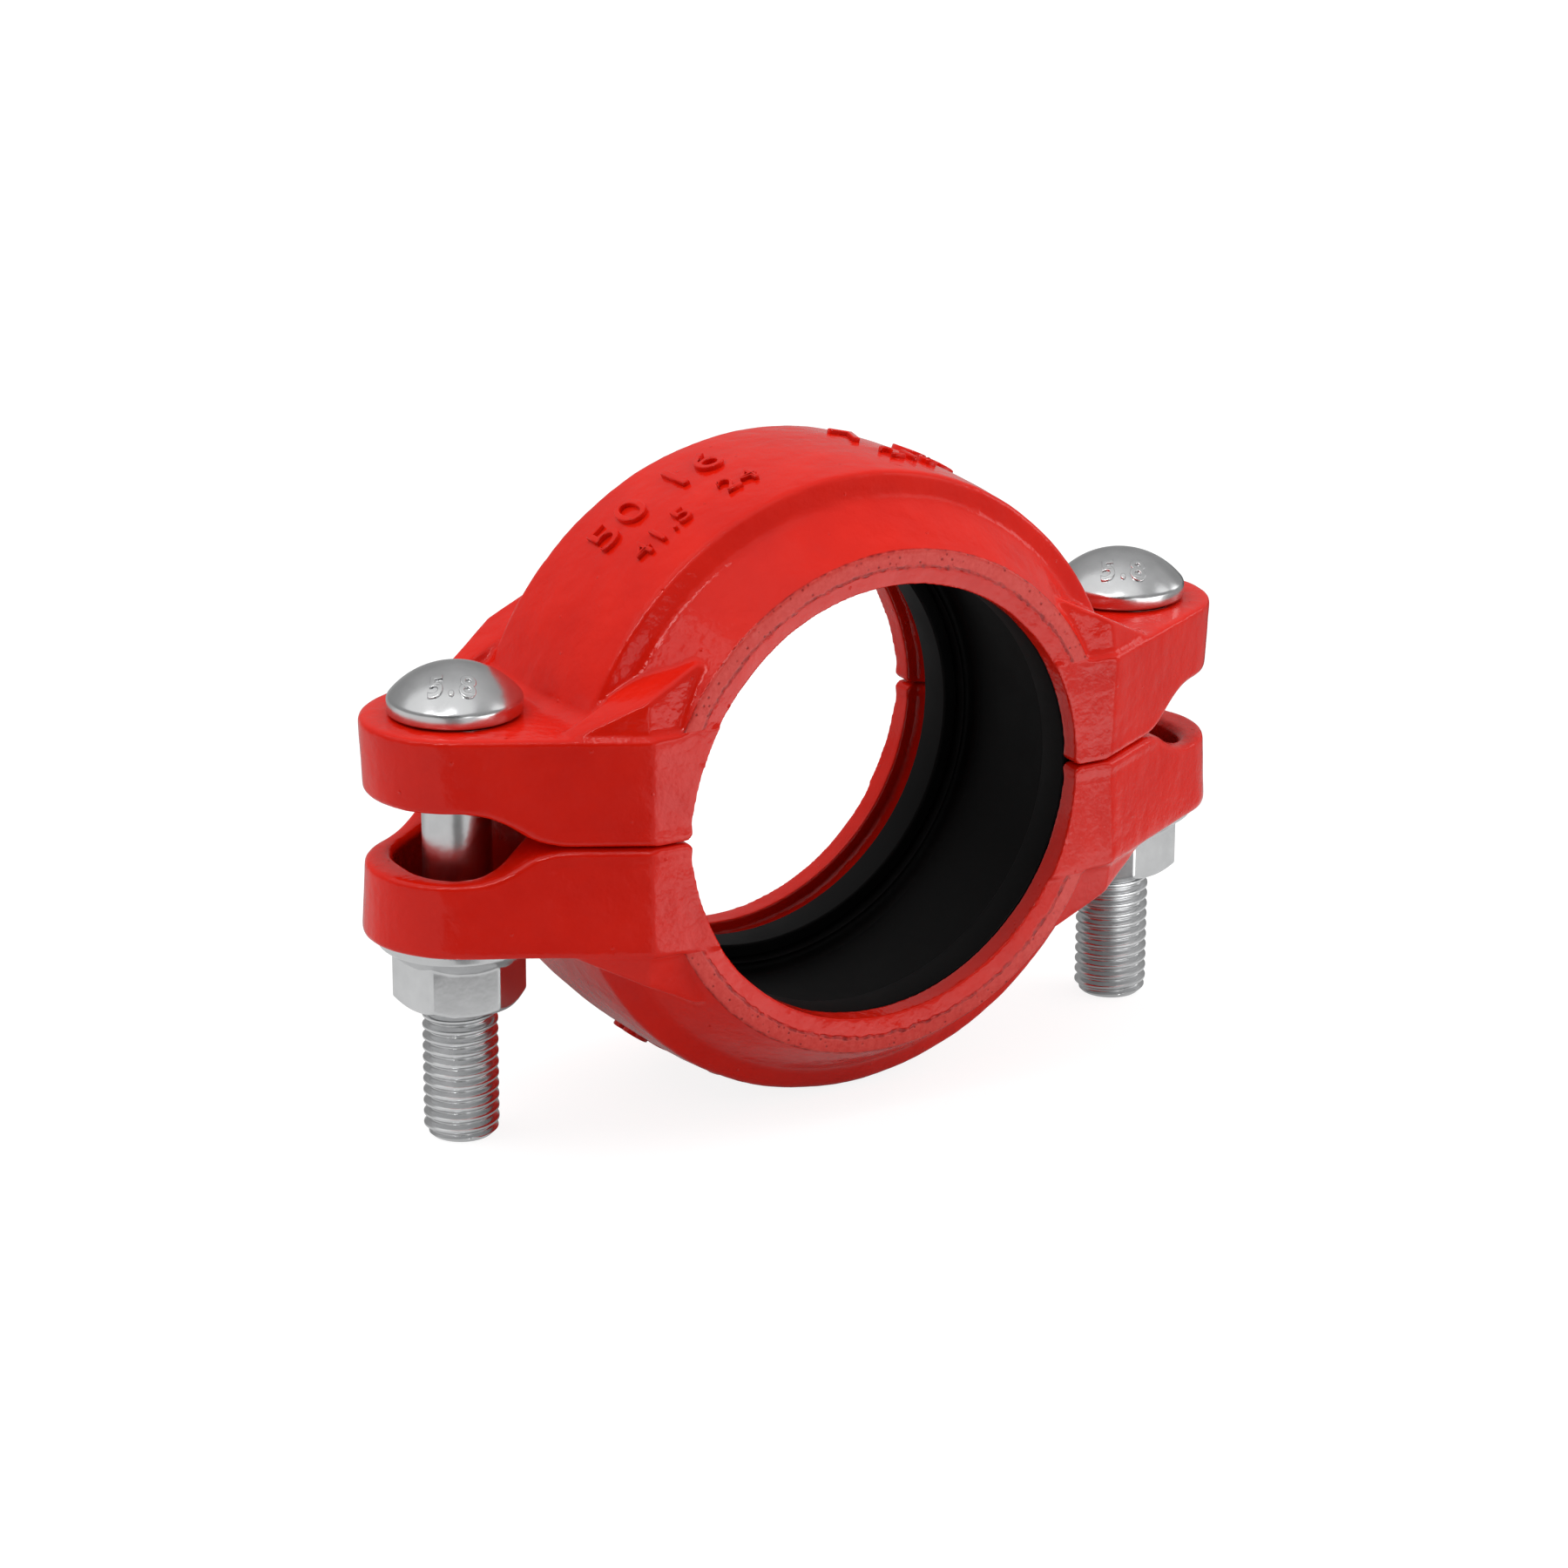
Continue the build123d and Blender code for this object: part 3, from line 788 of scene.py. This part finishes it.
def bolt(name, node, x):
    """An oval neck bolt: domed head, oval neck, plain shank and a rolled thread."""
    neck = lofted("neck", [
        neck_ring(-NECK_DEPTH, NECK_EDGE),
        neck_ring(-NECK_DEPTH + NECK_EDGE),
        neck_ring(NECK_IN_HEAD),
    ])
    low = THREAD_LENGTH - BOLT_LENGTH - SHANK_OVERLAP
    shank = [(0, low), (SHANK_RADIUS, low), (SHANK_RADIUS, 0), (0, 0)]
    seed = new_piece("thread", bpy.data.meshes.new("thread"))
    thread = with_nodes(seed, thread_nodes, Material=zinc).data
    thread.transform(Matrix.Translation((0, 0, -BOLT_LENGTH)))
    bpy.data.objects.remove(seed)
    mesh = joined(name, [bolt_head(), head_digits(), neck, turned_solid("shank", shank, segments=72), thread])
    mesh.transform(Matrix.Translation((x, 0, SEAT_Z)))
    mesh.materials.append(zinc)
    piece = shaded(new_piece(name, mesh), angle=42)
    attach(piece, "upper_half")
    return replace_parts(piece, node)


def nut(name, node, body):
    """A flange nut with its edges worn round by forging and plating."""
    piece = new_piece(name, merged_copy(node))
    thinned(softened(piece, NUT_VOXEL, NUT_PASSES), NUT_TRIANGLES)
    piece.data.materials.append(zinc)
    shaded(piece)
    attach(piece, body)
    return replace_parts(piece, node)


def gasket_ring(name, node):
    """The moulded ring: two lips turned inwards, a hollow back and small rounds on every edge."""
    low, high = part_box(node)
    middle, half = (low.y + high.y) / 2, (high.y - low.y) / 2
    outer, tip = high.x, half - LIP_LENGTH
    under = LIP_RADIUS + LIP_THICKNESS
    front = [(LIP_RADIUS, -half), (LIP_RADIUS + LIP_SLOPE, -half), (outer, -BACK_HALF_WIDTH)]
    inner = [(LIP_RADIUS, tip), (under, tip), (under, tip + WALL_THICKNESS / 2),
             (outer - WALL_THICKNESS, BACK_HALF_WIDTH - WALL_THICKNESS / 2)]
    corners = front + [(r, -y) for r, y in reversed(front)] + inner + [(r, -y) for r, y in reversed(inner)]
    profile = rounded(corners, CORNER_ROUNDS, steps=5)
    mesh = turned_ring(name, [(r, y + middle) for r, y in profile], segments=256)
    mesh.materials.append(rubber)
    piece = shaded(new_piece(name, mesh), angle=60)
    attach(piece, "lower_half")
    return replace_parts(piece, node)


# Stage


def heading(azimuth, elevation):
    """Direction at an azimuth from the front, with right positive, and an elevation, both in degrees."""
    a, e = radians(azimuth), radians(elevation)
    return (sin(a) * cos(e), -cos(a) * cos(e), sin(e))


def view_axes(roll):
    """The camera's right, up and back."""
    back = Vector(heading(CAMERA_AZIMUTH, CAMERA_ELEVATION))
    a = radians(CAMERA_AZIMUTH)
    right = Vector((cos(a), sin(a), 0))
    up = back.cross(right)
    r = radians(roll)
    return right * cos(r) + up * sin(r), -right * sin(r) + up * cos(r), back


def photo_camera():
    """The camera of the photograph."""
    level_right, level_up, back = view_axes(0)
    place = back * CAMERA_DISTANCE + level_right * CAMERA_ASIDE + level_up * CAMERA_RISE
    right, up, back = view_axes(CAMERA_ROLL)
    data = bpy.data.cameras.new("camera")
    data.sensor_fit = "HORIZONTAL"
    data.sensor_width = SENSOR
    data.lens = LENS
    data.clip_start = 0.01
    data.clip_end = 20
    camera = bpy.data.objects.new("camera", data)
    turn = Matrix((right, up, back)).transposed().to_4x4()
    camera.matrix_world = Matrix.Translation(place) @ turn
    bpy.context.scene.collection.objects.link(camera)
    bpy.context.scene.camera = camera


def facing(tree, direction, azimuth, elevation):
    """How squarely a direction lies towards a heading, as a cosine."""
    return add_node(tree, "ShaderNodeVectorMath", {0: direction, 1: heading(azimuth, elevation)},
                    operation="DOT_PRODUCT").outputs["Value"]


def beam(tree, cosine, outer, inner):
    """0 outside the outer angle and 1 inside the inner one, in degrees."""
    return smooth_step(tree, cosine, cos(radians(outer)), cos(radians(inner)))


def sector(tree, place, azimuth, outer, inner):
    """1 where a place or direction lies towards an azimuth, whatever its height, and 0 to the sides."""
    flat = add_node(tree, "ShaderNodeVectorMath", {0: place, 1: (1, 1, 0)}, operation="MULTIPLY").outputs[0]
    level = add_node(tree, "ShaderNodeVectorMath", {0: flat}, operation="NORMALIZE").outputs[0]
    return beam(tree, facing(tree, level, azimuth, 0.0), outer, inner)


def ray_kinds(tree):
    """Whether a ray comes from the camera, and whether from gloss or glass."""
    rays = add_node(tree, "ShaderNodeLightPath").outputs
    return rays["Is Camera Ray"], largest(tree, rays["Is Glossy Ray"], rays["Is Transmission Ray"])


def ramped(tree, value, stops):
    """Grey level by a value from 0 to 1, through stops of place and level."""
    ramp = add_node(tree, "ShaderNodeValToRGB", {0: value})
    elements = ramp.color_ramp.elements
    for element, (place, level) in zip(elements, (stops[0], stops[-1])):
        element.position, element.color = place, (level / 4,) * 3 + (1,)
    for place, level in stops[1:-1]:
        elements.new(place).color = (level / 4,) * 3 + (1,)
    return scaled(tree, ramp.outputs[0], 4.0)


# Softboxes that gloss and metal show: azimuth, elevation, inner and outer radius in degrees, level
SOFTBOXES = [
    (-40, 65, 24, 42, 1.00),
    (-110, 55, 20, 38, 1.00),
    (-80, 34, 3, 7, 3.0),
    (-80, 42, 3, 7, 3.0),
    (-80, 50, 3, 7, 3.0),
    (-57, 36, 2, 6, 12.0),
    (-53, 42, 2, 6, 12.0),
    (-48, 48, 2, 6, 10.0),
    (-42, 54, 2, 6, 8.0),
    (-36, 60, 2, 6, 5.0),
    (-5, 4, 4, 9, 2.5),
    (63, 35, 8, 16, 1.20),
    (87, 17, 6, 12, 2.0),
]

# Cloth of the room that gloss sees: height of the direction, level
CLOTH = [(0.0, 0.30), (0.3, 0.32), (0.5, 0.40), (0.87, 0.52), (1.0, 0.72)]

# Dark side of the room behind the camera that gloss sees, and how much of the cloth it takes
DARK_AZIMUTH = -39
DARK_OUTER = 25
DARK_INNER = 16
DARK_TOP = 0.58
DARK_FULL = 0.46
DARK_SHARE = 0.7

# Soft light on everything: height of the direction, level
SOFT_LIGHT = [(0.0, 0.70), (0.3, 0.86), (1.0, 1.0)]

# Soft light by its side: azimuth, elevation, change
SOFT_SIDES = [
    (-40, 0, -0.95),
    (80, 0, 1.15),
    (-105, 25, 0.20),
    (150, 5, -0.45),
]

# Floor that the camera sees, and floor that other rays see
FLOOR_HALF = 2.0
SEEN_WHITE = 0.87
SEEN_PAPER = 0.22
PAPER = 0.70

# Floor that gloss sees, a painted reflection: its level, and how much of it is left close to the coupling, a
# painted shadow of the coupling
FLOOR_LEVEL = 0.78
NEAR_START = 78 * MM
NEAR_FULL = 55 * MM
NEAR_LEFT = 0.35

# Changes of the floor that gloss sees: azimuth, outer and inner half-width in degrees,
# distance where the change starts and where it is full, change
FLOOR_CHANGES = [
    (-41, 16, 8, 0.095, 0.115, -0.56),
    (31, 36, 12, 0.06, 0.11, 2.6),
    (31, 36, 12, 0.14, 0.19, -2.6),
    (28, 28, 14, 0.212, 0.235, 2.4),
    (97, 45, 25, 0.13, 0.17, -0.42),
    (165, 70, 35, 0.0, 0.01, -0.35),
]


def studio_world():
    """Soft studio room. Gloss sees its softboxes and dark camera side, and soft light does the rest."""
    world = bpy.data.worlds.new("studio")
    world.use_nodes = True
    tree = world.node_tree
    tree.nodes.clear()
    direction = add_node(tree, "ShaderNodeTexCoord").outputs["Generated"]
    height = add_node(tree, "ShaderNodeSeparateXYZ", {0: direction}).outputs[2]
    boxes = []
    for azimuth, elevation, inner, outer, level in SOFTBOXES:
        near = facing(tree, direction, azimuth, elevation)
        boxes.append(times(tree, beam(tree, near, outer, inner), level))
    bright = largest(tree, ramped(tree, height, CLOTH), *boxes)
    dark = times(tree, sector(tree, direction, DARK_AZIMUTH, DARK_OUTER, DARK_INNER),
                 smooth_step(tree, height, DARK_TOP, DARK_FULL), DARK_SHARE)
    mirrored = times(tree, bright, scaled(tree, dark, -1.0, 1.0))
    sides = []
    for azimuth, elevation, change in SOFT_SIDES:
        near = facing(tree, direction, azimuth, elevation)
        sides.append(times(tree, smooth_step(tree, near, 0.0, 1.0), change))
    soft = times(tree, ramped(tree, height, SOFT_LIGHT), summed(tree, 1.0, *sides))
    camera_ray, shine = ray_kinds(tree)
    lights = []
    for level in (soft, mirrored, 1.0):
        light = add_node(tree, "ShaderNodeBackground", {"Color": (1, 1, 1, 1), "Strength": level})
        lights.append(light.outputs[0])
    unseen = add_node(tree, "ShaderNodeMixShader", {0: shine, 1: lights[0], 2: lights[1]}).outputs[0]
    last = add_node(tree, "ShaderNodeMixShader", {0: camera_ray, 1: unseen, 2: lights[2]})
    add_node(tree, "ShaderNodeOutputWorld", {0: last.outputs[0]})
    bpy.context.scene.world = world


def floor():
    """Pale floor under the lowest point with a faint shadow. Gloss sees painted bright and dark reflection
    fields in it, and a painted shadow close to the coupling.
    """
    made = bpy.data.materials.new("pale floor")
    made.use_nodes = True
    made.cycles.emission_sampling = "NONE"
    tree = made.node_tree
    tree.nodes.clear()
    place = add_node(tree, "ShaderNodeTexCoord").outputs["Object"]
    far = add_node(tree, "ShaderNodeVectorMath", {0: place}, operation="LENGTH").outputs["Value"]
    changes = [FLOOR_LEVEL]
    for azimuth, outer, inner, start, end, change in FLOOR_CHANGES:
        field = sector(tree, place, azimuth, outer, inner)
        changes.append(times(tree, field, smooth_step(tree, far, start, end), change))
    # Painted shadow: the floor that gloss sees is darker close to the coupling.
    near = smooth_step(tree, far, NEAR_START, NEAR_FULL)
    level = times(tree, summed(tree, *changes), scaled(tree, near, NEAR_LEFT - 1.0, 1.0))
    mirrored = add_node(tree, "ShaderNodeEmission", {"Strength": level}).outputs[0]
    paper = add_node(tree, "ShaderNodeBsdfDiffuse", {"Color": (*[PAPER] * 3, 1)}).outputs[0]
    faint = add_node(tree, "ShaderNodeBsdfDiffuse", {"Color": (*[SEEN_PAPER] * 3, 1)}).outputs[0]
    white = add_node(tree, "ShaderNodeEmission", {"Strength": SEEN_WHITE}).outputs[0]
    seen = add_node(tree, "ShaderNodeAddShader", {0: faint, 1: white}).outputs[0]
    camera_ray, shine = ray_kinds(tree)
    first = add_node(tree, "ShaderNodeMixShader", {0: camera_ray, 1: paper, 2: seen}).outputs[0]
    last = add_node(tree, "ShaderNodeMixShader", {0: shine, 1: first, 2: mirrored})
    add_node(tree, "ShaderNodeOutputMaterial", {0: last.outputs[0]})
    half, low = FLOOR_HALF, cad_box[0].z
    corners = [(-half, -half, low), (half, -half, low), (half, half, low), (-half, half, low)]
    mesh = shell_mesh("floor", corners, [(0, 1, 2, 3)])
    mesh.materials.append(made)
    new_piece("floor", mesh)


def lamp(name, place, size, power):
    """A soft square lamp that looks at the coupling and doesn't show in gloss."""
    data = bpy.data.lights.new(name, "AREA")
    data.size = size
    data.energy = power
    lamp_object = bpy.data.objects.new(name, data)
    lamp_object.location = place
    lamp_object.rotation_euler = (-Vector(place)).to_track_quat("-Z", "Y").to_euler()
    lamp_object.visible_glossy = False
    bpy.context.scene.collection.objects.link(lamp_object)


speckle = speckle_group()
pits = pits_group()
band = band_group()
hole = hole_group()
paint = red_paint()
zinc = zinc_plate()
rubber = black_rubber()
cast_surface = cast_surface_tree()
thread_nodes = thread_tree()

casting("upper_casting", "upper_housing", "upper_half", flip=False, seed=3.0)
casting("lower_casting", "lower_housing", "lower_half", flip=True, seed=11.0)
bolt("left_plated_bolt", "left_bolt", -BOLT_X)
bolt("right_plated_bolt", "right_bolt", BOLT_X)
nut("left_plated_nut", "left_nut", "left_nut")
nut("right_plated_nut", "right_nut", "right_nut")
gasket_ring("moulded_gasket", "gasket")

photo_camera()
studio_world()
floor()
lamp("top softbox", place=(-0.42, 0.25, 0.9), size=0.9, power=4.2)
bpy.context.scene.view_settings.view_transform = "Standard"
